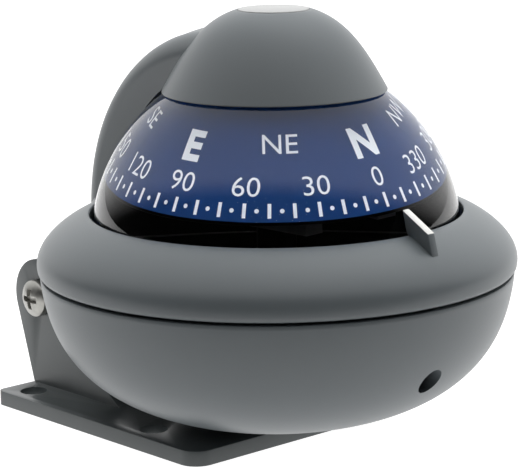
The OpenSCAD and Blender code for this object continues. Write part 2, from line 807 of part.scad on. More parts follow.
module dome_seal() {
    color("#141414")
    in_case() translate([0, 0, joint_z - seal_d / 2 + seal_squeeze / 2])
        intersection() {
            rotate_extrude() translate([seal_r, 0]) circle(d = seal_d, $fn = 32);
            band(seal_r - seal_d, seal_r + seal_d, -seal_d / 2 + seal_squeeze / 2,
                seal_d / 2 - seal_squeeze / 2);
        }
}

module capsule_base() {
    color("#161819")
    in_case() difference() {
        union() {
            translate([0, 0, shelf_z]) cylinder(r = flange_r, h = cup_flange_t);
            translate([0, 0, cup_under]) cylinder(r = cup_out_r, h = cup_depth);
        }
        translate([0, 0, cup_floor]) cylinder(r = cup_in_r, h = cup_depth);
        band(seal_r - seal_d * 0.55, seal_r + seal_d * 0.55, joint_z - seal_d + seal_squeeze, joint_z + cut);
        at_capsule_screws(shelf_z - cut) cylinder(d = capsule_screw_d + 8 * eps, h = cup_flange_t + 2 * cut);
        translate([0, diaphragm_y, cup_under - cut])
            cylinder(d = diaphragm_d - 2 * clamp_rim, h = cup_wall + 2 * cut);
        translate([0, diaphragm_y, cup_under - cut])
            cylinder(d = diaphragm_d + 2 * eps, h = diaphragm_t + cut);
        plug_place() translate([0, 0, -cut]) cylinder(d = plug_d + 2 * eps, h = cup_wall + 2 * cut);
    }
}

module capsule_screws() {
    length = cup_flange_t + screw_bite;
    color("#c0c1bf")
    in_case() at_capsule_screws(shelf_z)
        rotate([180, 0, 0]) pan_screw(capsule_head_d, capsule_head_h, capsule_screw_d, length);
}

module diaphragm() {
    color("#222324")
    in_case() translate([0, diaphragm_y, cup_under]) difference() {
        cylinder(d = diaphragm_d, h = diaphragm_t);
        // Rolled crease that lets the middle move
        rotate_extrude() translate([diaphragm_d / 2 - 2 * clamp_rim, 0]) circle(diaphragm_t / 2, $fn = 24);
    }
}

module diaphragm_ring() {
    color("#9a9c9b")
    in_case() translate([0, diaphragm_y, cup_under - clamp_t]) difference() {
        cylinder(d = diaphragm_d + 2 * clamp_rim, h = clamp_t);
        translate([0, 0, -cut]) cylinder(d = diaphragm_d - 2 * clamp_rim, h = clamp_t + 2 * cut);
    }
}

module plug_place() {
    translate([-diaphragm_y, 0, cup_under]) children();
}

module filler_plug() {
    color("#b8923f")
    in_case() plug_place() difference() {
        union() {
            cylinder(d = plug_d, h = cup_wall);
            translate([0, 0, -clamp_t]) cylinder(d = plug_d + 2 * clamp_rim, h = clamp_t);
        }
        translate([-plug_d, -comp_slot_w / 2, -clamp_t - cut])
            cube([2 * plug_d, comp_slot_w, clamp_t / 2 + cut]);
    }
}

module pivot_post() {
    color("#1b1d1e")
    in_case() difference() {
        union() {
            translate([0, 0, cup_floor]) cylinder(d = post_foot_d, h = post_foot_t);
            translate([0, 0, cup_floor]) cylinder(d = post_d, h = post_top - cup_floor - post_d / 4);
            translate([0, 0, post_top - post_d / 4 - eps])
                cylinder(d1 = post_d, d2 = post_d / 2, h = post_d / 4 + eps);
        }
        translate([0, 0, post_top - pin_in]) cylinder(d = pin_d + 2 * eps, h = pin_in + cut);
    }
}

module pivot_pin() {
    color("#d0d2d4")
    in_case() {
        translate([0, 0, post_top - pin_in]) cylinder(d = pin_d, h = pin_in + pin_up - pin_taper);
        translate([0, 0, point_h - pin_taper - eps])
            cylinder(d1 = pin_d, d2 = pin_d / 20, h = pin_taper + eps);
    }
}

function card_r(z) = card_low_r - (z - card_low_h) * card_slope;

module dial_card() {
    color("#3a4f86")
    in_case() rotate_extrude() polygon([
        [card_low_r, card_low_h], [card_top_r, card_top_h], [0, card_top_h], [0, card_top_h - card_t],
        [card_r(card_top_h - card_t) - card_skin, card_top_h - card_t], [card_low_r - card_skin, card_low_h]
    ]);
}

module card_hub() {
    color("#2a2d31")
    in_case() rotate([0, 0, card_heading]) difference() {
        union() {
            rotate_extrude() polygon([
                [0, hub_low], [card_r(hub_low) - card_skin - eps, hub_low],
                [card_r(hub_low + hub_t) - card_skin - eps, hub_low + hub_t], [0, hub_low + hub_t]
            ]);
            translate([0, 0, jewel_low]) cylinder(r = hub_r, h = jewel_h + hub_t);
        }
        translate([0, 0, jewel_low - cut]) cylinder(r = jewel_r + eps, h = jewel_h + cut);
        for (turn = [0:90:270]) rotate([0, 0, turn])
            translate([0, (hub_r + card_low_r) / 2, hub_low - cut])
                cylinder(r = hub_window_r, h = hub_t + 2 * cut);
    }
}

module jewel() {
    cone_h = point_h + point_gap - jewel_low;
    color("#b5476a")
    in_case() translate([0, 0, jewel_low]) difference() {
        cylinder(r = jewel_r, h = jewel_h);
        translate([0, 0, -eps]) cylinder(r1 = jewel_r * 0.7, r2 = pin_d / 20, h = cone_h + eps);
    }
}

module card_magnets() {
    color("#6b6d70")
    in_case() rotate([0, 0, card_heading]) for (side = [-1, 1])
        translate([side * magnet_x - magnet_w / 2, -magnet_len / 2, hub_low - magnet_h])
            cube([magnet_w, magnet_len, magnet_h]);
}

// Slotted shaft of a compensator, pointing to the front
module comp_shaft() {
    collar_at = comp_boss_end - end_clear;
    journal_end = frame_post_at;
    translate([0, 0, -comp_drop]) rotate([90, 0, 0]) difference() {
        union() {
            translate([0, 0, post_far + end_clear]) cylinder(d = comp_d, h = comp_end - post_far - end_clear);
            translate([0, 0, collar_at - collar_t]) cylinder(d = collar_d, h = collar_t);
            translate([0, 0, journal_end]) cylinder(d = journal_d, h = post_far + cut - journal_end);
        }
        translate([-comp_slot_w / 2, -comp_d, comp_end - comp_slot_h])
            cube([comp_slot_w, 2 * comp_d, comp_slot_h + cut]);
        translate([0, 0, rod_at]) rotate([90, 0, 0])
            cylinder(d = rod_d + 2 * eps, h = comp_d + 2 * cut, center = true);
    }
}

// Rod magnet across a compensator shaft
module comp_rod() {
    translate([0, -rod_at, -comp_drop]) cylinder(d = rod_d, h = rod_len, center = true);
}

module fore_aft_compensator() {
    color("#b8923f") in_case() comp_shaft();
}

module fore_aft_magnet() {
    color("#6b6d70") in_case() comp_rod();
}

module athwart_compensator() {
    color("#b8923f") in_case() rotate([0, 0, 90]) comp_shaft();
}

module athwart_magnet() {
    color("#6b6d70") in_case() rotate([0, 0, 90]) comp_rod();
}

// Post of the compensator frame that carries a shaft's inner end
module frame_post() {
    top = -comp_drop + frame_post_up;
    difference() {
        translate([-frame_post_w / 2, -post_far, frame_z]) cube([frame_post_w, frame_post_t, top - frame_z]);
        translate([0, -post_far - cut, -comp_drop]) rotate([-90, 0, 0])
            cylinder(d = journal_d + 2 * comp_clear, h = frame_post_t + 2 * cut);
    }
}

module compensator_frame() {
    color("#35383a")
    in_case() difference() {
        union() {
            translate([0, 0, frame_z]) cylinder(r = frame_r, h = frame_t);
            for (turn = [0, 90]) rotate([0, 0, turn]) frame_post();
        }
        for (turn = [45, 225]) rotate([0, 0, turn])
            translate([frame_screw_at, 0, frame_z - cut])
                cylinder(d = frame_screw_d + 8 * eps, h = frame_t + 2 * cut);
    }
}

module frame_screws() {
    color("#c0c1bf")
    in_case() for (turn = [45, 225]) rotate([0, 0, turn])
        translate([frame_screw_at, 0, frame_z + frame_t])
            pan_screw(frame_head_d, frame_head_d / 2.6, frame_screw_d, frame_t + frame_pad_h - case_wall);
}

// Places its children under the capsule's flange at the lamp
module at_lamp() {
    rotate([0, 0, lamp_turn]) translate([0, -lamp_at, shelf_z - end_clear - lamp_len]) children();
}

module lamp() {
    color("#d9efe2")
    in_case() at_lamp() {
        cylinder(d = lamp_d, h = lamp_len - lamp_d / 2);
        translate([0, 0, lamp_len - lamp_d / 2]) intersection() {
            sphere(d = lamp_d, $fn = 48);
            cylinder(d = lamp_d, h = lamp_d);
        }
    }
}

module lamp_holder() {
    deep = seam_r - lamp_at + lamp_d;
    color("#e4e4e0")
    in_case() difference() {
        intersection() {
            at_lamp() translate([-holder_w / 2, -deep + lamp_d / 2 + case_wall / 4, -holder_h / 2])
                cube([holder_w, deep, holder_h]);
            turned(bowl_inside);
        }
        at_lamp() cylinder(d = lamp_d + 2 * eps, h = holder_h);
        translate([0, 0, shelf_z - holder_h]) cylinder(r = cup_out_r + end_clear, h = 2 * holder_h);
        bowl_shelf();
    }
}

module wire_grommet() {
    color("#151617")
    in_case() at_outlet() difference() {
        union() {
            translate([0, 0, -case_wall - grommet_t])
                cylinder(d = outlet_d - 2 * eps, h = case_wall + grommet_t);
            translate([0, 0, -grommet_t / 2]) cylinder(d = grommet_d, h = grommet_t);
            translate([0, 0, -case_wall - 2 * grommet_t]) cylinder(d = grommet_d, h = grommet_t);
        }
        translate([0, 0, -case_wall - 3 * grommet_t]) cylinder(d = lead_d, h = case_wall + 5 * grommet_t);
    }
}

bracket();
pivot_screws();
friction_washers();
pivot_inserts();
lower_case();
upper_case();
crown_disc();
lubber_pointer();
dome();
dome_seal();
capsule_base();
capsule_screws();
diaphragm();
diaphragm_ring();
filler_plug();
pivot_post();
pivot_pin();
dial_card();
card_hub();
jewel();
card_magnets();
fore_aft_compensator();
fore_aft_magnet();
athwart_compensator();
athwart_magnet();
compensator_frame();
frame_screws();
lamp();
lamp_holder();
wire_grommet();
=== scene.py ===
import math

import bmesh
import bpy
import numpy as np
from mathutils import Matrix, Vector


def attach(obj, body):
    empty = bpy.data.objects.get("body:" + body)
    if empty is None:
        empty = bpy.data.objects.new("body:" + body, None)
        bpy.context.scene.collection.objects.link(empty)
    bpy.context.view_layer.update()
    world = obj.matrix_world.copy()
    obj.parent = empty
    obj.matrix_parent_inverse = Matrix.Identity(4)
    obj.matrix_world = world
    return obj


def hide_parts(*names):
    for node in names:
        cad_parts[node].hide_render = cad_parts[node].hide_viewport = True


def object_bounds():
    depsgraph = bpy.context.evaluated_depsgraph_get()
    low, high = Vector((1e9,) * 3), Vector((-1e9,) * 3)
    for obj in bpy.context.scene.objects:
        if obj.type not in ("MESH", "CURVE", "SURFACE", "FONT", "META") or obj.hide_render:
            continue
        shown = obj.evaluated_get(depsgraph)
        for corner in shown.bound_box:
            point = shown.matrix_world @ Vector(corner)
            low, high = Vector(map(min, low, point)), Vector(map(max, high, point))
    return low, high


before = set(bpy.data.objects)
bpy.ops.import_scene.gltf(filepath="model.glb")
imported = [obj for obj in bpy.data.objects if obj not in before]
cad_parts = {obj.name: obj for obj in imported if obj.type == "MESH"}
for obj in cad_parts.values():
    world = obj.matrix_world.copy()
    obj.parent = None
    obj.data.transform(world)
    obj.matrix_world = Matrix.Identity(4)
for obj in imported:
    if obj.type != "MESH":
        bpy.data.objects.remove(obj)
cad_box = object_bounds()

# The camera stands in front of the compass on its left, a little above the dial, as the photograph
# was taken. Its place is in metres from AXIS, which is the case's axis at the height of the seam.
AXIS = Vector((0.0, -0.0230, 0.0249))
CAMERA_PLACE = Vector((0.0, -0.3261, 0.0740))
AROUND, YAW, PITCH, ROLL = (math.radians(angle) for angle in (42.4, -0.40, 12.04, -0.90))
FOCAL_PIXELS, PHOTO_PIXELS, SENSOR = 2300, 522, 36.0
camera_side = Matrix.Rotation(-AROUND, 4, "Z")
camera = bpy.data.objects.new("camera", bpy.data.cameras.new("camera"))
camera.data.sensor_width = SENSOR
camera.data.lens = FOCAL_PIXELS / PHOTO_PIXELS * SENSOR
camera.data.clip_start = 0.01
camera.matrix_world = (
    Matrix.Translation(AXIS + camera_side @ CAMERA_PLACE)
    @ Matrix.Rotation(-AROUND - YAW, 4, "Z")
    @ Matrix.Rotation(math.pi / 2 - PITCH, 4, "X")
    @ Matrix.Rotation(ROLL, 4, "Z"))
bpy.context.scene.collection.objects.link(camera)
bpy.context.scene.camera = camera

# The base plate and its two ears are one moulding of glass-filled nylon, screwed down to the boat.
# It comes from a smooth steel mould, which gives the eye a dark and slightly shiny skin. Its edges
# are rounded a little, and so are those of the other pieces that start from their solids.
NYLON_IOR = 1.53
BRACKET_EDGE = 0.35
SMOOTH_BELOW, SHARP_ABOVE, FLAT_BELOW = (math.radians(angle) for angle in (35, 32, 0.5))


def linear(code):
    """The linear colour, with alpha, of an sRGB hex value."""
    channels = [int(code[i:i + 2], 16) / 255 for i in (1, 3, 5)]
    return [c / 12.92 if c <= 0.04045 else ((c + 0.055) / 1.055) ** 2.4 for c in channels] + [1.0]


def add_node(material, kind, settings):
    """Adds a node: a setting that is a socket gets a link, and any other one is a value."""
    node = material.node_tree.nodes.new(kind)
    for name, value in settings.items():
        if isinstance(value, bpy.types.NodeSocket):
            material.node_tree.links.new(value, node.inputs[name])
        elif isinstance(name, int) or name in node.inputs:
            node.inputs[name].default_value = value
        else:
            setattr(node, name, value)
    return node


def mottled(name, dark, light, patch_mm, rough, rough_spread, grain_mm, grain_depth_mm, **finish):
    """A solid material whose colour and gloss drift over patches, with a fine grain in relief."""
    material = bpy.data.materials.new(name)
    material.use_nodes = True
    shader = material.node_tree.nodes["Principled BSDF"]
    links = material.node_tree.links
    place = add_node(material, "ShaderNodeTexCoord", {}).outputs["Object"]
    patch = add_node(material, "ShaderNodeTexNoise", {
        "Vector": place, "Scale": 1000 / patch_mm, "Detail": 3.0})
    tone = add_node(material, "ShaderNodeMix", {
        "data_type": "RGBA", 0: patch.outputs["Fac"], 6: linear(dark), 7: linear(light)})
    gloss = add_node(material, "ShaderNodeMapRange", {
        "Value": patch.outputs["Fac"], "To Min": rough - rough_spread, "To Max": rough + rough_spread})
    grain = add_node(material, "ShaderNodeTexNoise", {
        "Vector": place, "Scale": 1000 / grain_mm, "Detail": 2.0})
    relief = add_node(material, "ShaderNodeBump", {
        "Height": grain.outputs["Fac"], "Distance": grain_depth_mm / 1000, "Strength": 1.0})
    links.new(tone.outputs[2], shader.inputs["Base Color"])
    links.new(gloss.outputs["Result"], shader.inputs["Roughness"])
    links.new(relief.outputs["Normal"], shader.inputs["Normal"])
    for socket, value in finish.items():
        shader.inputs[socket].default_value = value
    return material


def to_object(bm, name):
    """Turns a finished mesh into an object of the scene."""
    mesh = bpy.data.meshes.new(name)
    bm.to_mesh(mesh)
    bm.free()
    made = bpy.data.objects.new(name, mesh)
    bpy.context.scene.collection.objects.link(made)
    return made


def show(bm, name, materials, body, node):
    """Makes a finished mesh a piece of the compass, in place of its solid where it has one."""
    piece = to_object(bm, name)
    piece.data.shade_smooth()
    piece.data.set_sharp_from_angle(angle=SMOOTH_BELOW)
    for material in materials:
        piece.data.materials.append(material)
    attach(piece, body)
    if node:
        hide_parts(node)


def eased(node, edge_mm):
    """A merged copy of a solid with its sharp edges rounded, as a mould or a tumbler leaves them."""
    bm = bmesh.new()
    bm.from_mesh(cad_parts[node].data)
    bmesh.ops.remove_doubles(bm, verts=bm.verts, dist=2e-6)
    bmesh.ops.dissolve_limit(bm, angle_limit=FLAT_BELOW, verts=bm.verts, edges=bm.edges)
    sharp = [e for e in bm.edges if len(e.link_faces) == 2 and e.calc_face_angle() > SHARP_ABOVE]
    bmesh.ops.bevel(bm, geom=sharp, offset=edge_mm / 1000, offset_type="OFFSET", affect="EDGES",
                    segments=2, profile=0.5, material=-1, clamp_overlap=True)
    return bm


nylon = mottled("moulded_nylon", "#3f4445", "#4a4f50", patch_mm=14, rough=0.34, rough_spread=0.05,
                grain_mm=0.5, grain_depth_mm=0.004, IOR=NYLON_IOR)
show(eased("bracket", BRACKET_EDGE), "bracket_moulding", [nylon], "bracket", "bracket")

# Two stainless pan-head screws with a cross recess go through the ears into brass inserts and carry
# the case. They are turned and then tumbled, which gives the eye a bright, slightly uneven gleam.
SCREW_EDGE = 0.12
stainless = mottled("turned_stainless", "#8f8e8a", "#b4b3ae", patch_mm=0.8, rough=0.34, rough_spread=0.1,
                    grain_mm=0.3, grain_depth_mm=0.006, Metallic=1.0)
show(eased("pivot_screws", SCREW_EDGE), "pivot_screw_pair", [stainless], "case", "pivot_screws")

# The bowl is moulded in grey ABS, with the hinge lug at its rear and two bored bosses inside for the
# compensator shafts. Its spark-eroded grain gives the eye an even satin grey. The real grain is about
# 0.1 mm wide and is drawn coarser, so that it shows. Sizes are in millimetres from AXIS.
abs_grey = mottled("grained_abs", "#53595c", "#5a6063", patch_mm=18, rough=0.38, rough_spread=0.03,
                   grain_mm=0.42, grain_depth_mm=0.005, IOR=1.54)
BOWL_DEEP, BOWL_WALL = 22.1, 2.2
BOWL = [(34.4, 0.0), (33.5, -7.8), (30.8, -BOWL_DEEP), (0.0, -BOWL_DEEP)]
BOWL_FLOOR = BOWL_WALL - BOWL_DEEP
BOWL_INSIDE = [(r - BOWL_WALL, max(z, BOWL_FLOOR)) for r, z in BOWL[:3]] + [(0.0, BOWL_FLOOR)]
SEAM_HALF, RIM_DEEP = 0.2, 0.6
RIM = [(32.15, -SEAM_HALF), (34.05, -SEAM_HALF), (34.24, -SEAM_HALF - 0.07), (34.33, -SEAM_HALF - 0.25)]
COMPENSATOR_Z, COMPENSATOR_BORE, BORE_MIDDLE, BORE_DEPTH = -11.2, 1.85, 30, 16
BOSS_R, BOSS_START, BOSS_END, BOSS_FLARE = 3.55, 24.4, 31.6, 0.02
OUTLET_TURN, OUTLET_DROP, OUTLET_BORE, OUTLET_DEPTH = 38, 11, 2.5, 12
PIVOT_Y, PIVOT_Z, LUG_R, LUG_START, LUG_EDGE = 40.0, -8.9, 6.4, 23.5, 0.4
LUG_X, LUG_SLOT, BRIDGE_LAP = 10.3, 3.8, 1.0
CHEEK_FROM, BRIDGE_FROM = -90, 41


def cubic(points, count):
    """Points along the curve that four control points give."""
    p = np.array(points)
    t = np.linspace(0, 1, count)[:, None]
    return (1 - t) ** 3 * p[0] + 3 * (1 - t) ** 2 * t * p[1] + 3 * (1 - t) * t * t * p[2] + t ** 3 * p[3]


def spin_section(bm, outline, steps=256, closed=True):
    """Turns a section of radius and height round the case's axis."""
    verts = [bm.verts.new((r, 0.0, z)) for r, z in outline]
    edges = [bm.edges.new(pair) for pair in zip(verts, verts[1:])]
    if closed:
        edges.append(bm.edges.new((verts[-1], verts[0])))
    bmesh.ops.spin(bm, geom=verts + edges, cent=(0, 0, 0), axis=(0, 0, 1), angle=2 * math.pi,
                   steps=steps, use_merge=True)
    bmesh.ops.remove_doubles(bm, verts=bm.verts, dist=1e-4)
    bmesh.ops.recalc_face_normals(bm, faces=bm.faces)


def add_part(piece, part):
    """Adds a part's mesh to that of its piece."""
    mesh = bpy.data.meshes.new("part")
    part.to_mesh(mesh)
    part.free()
    piece.from_mesh(mesh)
    bpy.data.meshes.remove(mesh)


def into_case(bm):
    """Carries a mesh from millimetres about the case's axis to its place in metres."""
    bmesh.ops.transform(bm, matrix=Matrix.Translation(AXIS) @ Matrix.Scale(0.001, 4), verts=bm.verts)


shell = bmesh.new()
outside = [(r, z) for r, z in cubic(BOWL, 56) if z < -RIM_DEEP]
inside = [(r, z) for r, z in cubic(BOWL_INSIDE, 40) if z < -RIM_DEEP]
spin_section(shell, RIM + outside + inside[::-1], closed=False)
bowl_blank = to_object(shell, "bowl_blank")
skin = cubic(BOWL, 400)
at = int(np.argmin(np.abs(skin[:, 1] + OUTLET_DROP)))
slope = skin[at] - skin[at + 4]
quarter_turn = math.radians(90)
front = Matrix.Translation((0, -BORE_MIDDLE, COMPENSATOR_Z)) @ Matrix.Rotation(quarter_turn, 4, "X")
flank = Matrix.Translation((BORE_MIDDLE, 0, COMPENSATOR_Z)) @ Matrix.Rotation(quarter_turn, 4, "Y")
outlet = (
    Matrix.Rotation(math.radians(-OUTLET_TURN), 4, "Z")
    @ Matrix.Translation((0, *skin[at]))
    @ Matrix.Rotation(-quarter_turn - math.atan2(slope[0], slope[1]), 4, "X"))
drill = bmesh.new()
for place, bore, depth in (
        (front, COMPENSATOR_BORE, BORE_DEPTH), (flank, COMPENSATOR_BORE, BORE_DEPTH),
        (outlet, OUTLET_BORE, OUTLET_DEPTH)):
    bmesh.ops.create_cone(drill, cap_ends=True, segments=48, radius1=bore, radius2=bore, depth=depth,
                          matrix=place)
drill_bits = to_object(drill, "drill_bits")
bores = bowl_blank.modifiers.new("bores", "BOOLEAN")
bores.operation = "DIFFERENCE"
bores.solver = "EXACT"
bores.object = drill_bits
bowl = bmesh.new()
bowl.from_object(bowl_blank, bpy.context.evaluated_depsgraph_get())
bpy.data.objects.remove(bowl_blank)
bpy.data.objects.remove(drill_bits)
for turn in (0, 90):
    boss = bmesh.new()
    spin_section(boss, [(COMPENSATOR_BORE, BOSS_START), (BOSS_R, BOSS_START), (BOSS_R, BOSS_END),
                        (COMPENSATOR_BORE + BOSS_FLARE, BOSS_END)], steps=48)
    for vert in boss.verts:
        if vert.co.z > (BOSS_START + BOSS_END) / 2:
            skin_r = np.interp(-COMPENSATOR_Z - vert.co.y, -skin[:, 1], skin[:, 0])
            vert.co.z = math.sqrt(skin_r ** 2 - vert.co.x ** 2) - BOWL_WALL / 2
    bmesh.ops.transform(boss, verts=boss.verts, matrix=(
        Matrix.Rotation(math.radians(turn), 4, "Z")
        @ Matrix.Translation((0, 0, COMPENSATOR_Z))
        @ Matrix.Rotation(quarter_turn, 4, "X")))
    add_part(bowl, boss)
for low_x, high_x, round_from in (
        (-LUG_X, -LUG_SLOT, CHEEK_FROM), (LUG_SLOT, LUG_X, CHEEK_FROM),
        (-LUG_SLOT - BRIDGE_LAP, LUG_SLOT + BRIDGE_LAP, BRIDGE_FROM)):
    arc = [math.radians(a) for a in np.linspace(round_from, 90, 24)]
    outline = [(PIVOT_Y + LUG_R * math.cos(a), PIVOT_Z + LUG_R * math.sin(a)) for a in arc]
    outline += [(LUG_START, outline[-1][1]), (LUG_START, outline[0][1])]
    lug = bmesh.new()
    face = lug.faces.new([lug.verts.new((low_x, y, z)) for y, z in outline])
    pushed = bmesh.ops.extrude_face_region(lug, geom=[face])["geom"]
    bmesh.ops.translate(lug, vec=(high_x - low_x, 0, 0),
                        verts=[v for v in pushed if isinstance(v, bmesh.types.BMVert)])
    bmesh.ops.recalc_face_normals(lug, faces=lug.faces)
    bmesh.ops.bevel(lug, geom=[e for e in lug.edges if e.calc_face_angle(0) > SHARP_ABOVE],
                    offset=LUG_EDGE, affect="EDGES", segments=2, profile=0.5, material=-1)
    add_part(bowl, lug)
into_case(bowl)
show(bowl, "bowl_moulding", [abs_grey], "case", "lower_case")

# The ring, the rear arm and the sun hood are the upper half of the case, one moulding of the same
# grained ABS. The arm runs into the ring in a soft fillet and meets the hood in a crisp line.
RING = [(34.4, 0.0), (36.6, 5.0), (27.58, 9.25), (27.03, 8.7)]
RING_FOOT = [(34.05, SEAM_HALF), (34.3, SEAM_HALF + 0.07), (34.46, SEAM_HALF + 0.25)]
FOOT_TALL, RING_FILLET = 0.55, 2.4
ON_SKIN, FILLET_INSIDE, LEAST_GROWTH = 0.06, 0.25, 0.2
LIP = [(26.96, 8.62), (26.93, 8.45), (26.97, 8.2), (27.1, 6.6), (29.4, 4.2), (30.6, 1.4), (32.1, SEAM_HALF)]
HOOD = [(16.1, 26.25), (12.1, 33.65), (8.9, 38.3), (0.0, 38.3)]
HOOD_RIM = [(15.75, 26.12), (15.95, 25.97), (16.14, 25.98), (16.18, 26.1)]
HOOD_RIM_INSIDE = (14.4, 27.3)
HOOD_WALL, HOOD_RISE, HOOD_ROOF, HOOD_INSIDE_R = 2.0, 0.3, 1.4, 2.6
DISC_R, DISC_SEAT, DISC_FLOOR = 5.12, 36.8, 1.1
DISC_EDGE = [(DISC_R + 0.03, 37.55), (DISC_R, 37.4), (DISC_R, DISC_SEAT), (0, DISC_SEAT)]
DISC_GROOVE = 0.12
ARM_HALF, ARM_R, ARM_ROUND, ARM_INSIDE, ARM_SWEEP = 10.1, 29.8, 3.5, 26.0, 93
ARM_MIDDLE = Vector((0.0, 3.8, 5.75))
ARM_NEAR, ARM_LEVEL = 0.1, 0.01
DOME_Z, CLEARANCE_R = 4.2, 27.3

ring_curve = cubic(RING, 160)


def to_ring(points):
    """Distance of points outside the ring's skin, and the direction in which it grows."""
    radius = np.hypot(points[:, 0], points[:, 1])
    flat = np.stack([radius, points[:, 2]], 1)
    along = np.gradient(ring_curve, axis=0)
    normal = np.stack([along[:, 1], -along[:, 0]], 1) / np.linalg.norm(along, axis=1)[:, None]
    near = np.argmin(((flat[:, None] - ring_curve[None]) ** 2).sum(2), 1)
    gap = ((flat - ring_curve[near]) * normal[near]).sum(1)
    spread = normal[near, :1] * points[:, :2] / np.maximum(radius, 1e-6)[:, None]
    return gap, np.concatenate([spread, normal[near, 1:]], 1)


def to_arm(points):
    """Distance of points outside the arm: a ball's skin between two side faces, round at every edge."""
    from_middle = points - np.array(ARM_MIDDLE)
    reach = np.linalg.norm(from_middle, axis=1)
    past_skin = np.maximum(reach - ARM_R + ARM_ROUND, 0)
    past_side = np.maximum(np.abs(points[:, 0]) - ARM_HALF + ARM_ROUND, 0)
    past_start = np.maximum(ARM_ROUND - from_middle[:, 1], 0)
    edge = np.maximum(np.sqrt(past_skin ** 2 + past_side ** 2 + past_start ** 2), 1e-6)
    grow = past_skin[:, None] * from_middle / reach[:, None]
    grow[:, 0] += past_side * np.sign(points[:, 0])
    grow[:, 1] -= past_start
    return edge - ARM_ROUND, grow / edge[:, None]


def fillet(bm, own, other, radius):
    """Moves a piece's skin out into a soft fillet where it meets another piece's skin."""
    points = np.array([v.co for v in bm.verts])
    reach = other(points)[0]
    moved = (np.abs(own(points)[0]) < ON_SKIN) & (reach > -FILLET_INSIDE * radius) & (reach < radius)
    spot = points[moved]
    # Each step brings the points nearer to the blended skin, and five are enough.
    for _ in range(5):
        a, grow_a = own(spot)
        b, grow_b = other(spot)
        share = np.maximum(radius - np.abs(a - b), 0) / radius
        height = np.minimum(a, b) - share ** 2 * radius / 4
        weight = np.where(a < b, 1 - share / 2, share / 2)[:, None]
        grow = weight * grow_a + (1 - weight) * grow_b
        spot = spot - (height / np.maximum((grow ** 2).sum(1), LEAST_GROWTH))[:, None] * grow
    for vert, place in zip([v for v, m in zip(bm.verts, moved) if m], spot):
        vert.co = place


upper = bmesh.new()
shoulder = [(r, z) for r, z in cubic(RING, 64) if z > FOOT_TALL][:-1]
spin_section(upper, RING_FOOT + shoulder + LIP)
hood = bmesh.new()
hood_skin = [(r, z) for r, z in cubic(HOOD, 72) if r > DISC_R + DISC_GROOVE]
hood_inside = [(r - HOOD_WALL, min(z, DISC_SEAT - HOOD_ROOF) + HOOD_RISE)
               for r, z in cubic(HOOD, 36) if r > HOOD_INSIDE_R]
spin_section(hood, HOOD_RIM + hood_skin + DISC_EDGE + [(0, DISC_SEAT - DISC_FLOOR)] + hood_inside[::-1]
             + [HOOD_RIM_INSIDE])
arm_corner = []
for angle in np.radians(np.linspace(0, 90, 9)):
    arm_corner.append((
        ARM_R - ARM_ROUND * (1 - math.sin(angle)) - (ARM_HALF - ARM_ROUND) ** 2 / (2 * ARM_R),
        ARM_HALF - ARM_ROUND * (1 - math.cos(angle))))
arm_top = [(math.sqrt(ARM_R ** 2 - x * x), x) for x in np.linspace(ARM_HALF - ARM_ROUND, 0, 14)[1:]]
arm_inside = [(math.sqrt(ARM_INSIDE ** 2 - x * x), x) for x in np.linspace(0, ARM_HALF, 16)]
arm_half = arm_corner + arm_top
outline = arm_half + [(r, -x) for r, x in arm_half[-2::-1]]
outline += [(r, -x) for r, x in arm_inside[::-1]] + arm_inside[1:]
arm = bmesh.new()
verts = [arm.verts.new(ARM_MIDDLE + Vector((x, 0, r))) for r, x in outline]
edges = [arm.edges.new(pair) for pair in zip(verts, verts[1:] + verts[:1])]
bmesh.ops.spin(arm, geom=verts + edges, cent=ARM_MIDDLE, axis=(-1, 0, 0), angle=math.radians(ARM_SWEEP),
               steps=110)
bmesh.ops.holes_fill(arm, edges=[e for e in arm.edges if e.is_boundary], sides=0)
bmesh.ops.recalc_face_normals(arm, faces=arm.faces)
over_dome = {v for v in arm.verts if (v.co - ARM_MIDDLE).length < ARM_INSIDE + ARM_NEAR}
dome_middle = Vector((0, 0, DOME_Z))
for vert in over_dome:
    vert.co = dome_middle + (vert.co - dome_middle).normalized() * CLEARANCE_R
bmesh.ops.subdivide_edges(arm, cuts=9, use_grid_fill=True, edges=[
    e for e in arm.edges
    if len(over_dome.intersection(e.verts)) == 1 and abs(e.verts[0].co.x - e.verts[1].co.x) < ARM_LEVEL])
fillet(upper, to_ring, to_arm, RING_FILLET)
fillet(arm, to_arm, to_ring, RING_FILLET)
add_part(upper, hood)
add_part(upper, arm)
into_case(upper)
show(upper, "hood_and_ring_moulding", [abs_grey], "case", "upper_case")

# A pale disc of satin moulded plastic is inlaid in the crown of the hood. It is pressed in flush, with
# a hairline groove round it, and gives the eye an even, bright spot.
DISC_ROUND = 0.15
pale = mottled("pale_inlay", "#969797", "#a1a2a1", patch_mm=4, rough=0.38, rough_spread=0.04,
               grain_mm=0.3, grain_depth_mm=0.002)
show(eased("crown_disc", DISC_ROUND), "crown_inlay", [pale], "case", "crown_disc")

# The lubber pointer is a thin fin of the case's grey ABS, pressed into the ring on the centre line. Its
# sloping top face, which the dial is read against, has a coat of white paint that is worn a little.
FIN_EDGE, PAINT_FROM, FACES_UP = 0.12, 9.2, 0.5
white_paint = mottled("white_paint", "#bcbcb8", "#e2e2df", patch_mm=0.7, rough=0.5, rough_spread=0.08,
                      grain_mm=0.3, grain_depth_mm=0.012)
pointer = eased("lubber_pointer", FIN_EDGE)
for face in pointer.faces:
    high = face.calc_center_median().z > AXIS.z + PAINT_FROM / 1000
    face.material_index = 1 if high and face.normal.z > FACES_UP else 0
show(pointer, "lubber_fin", [abs_grey, white_paint], "case", "lubber_pointer")

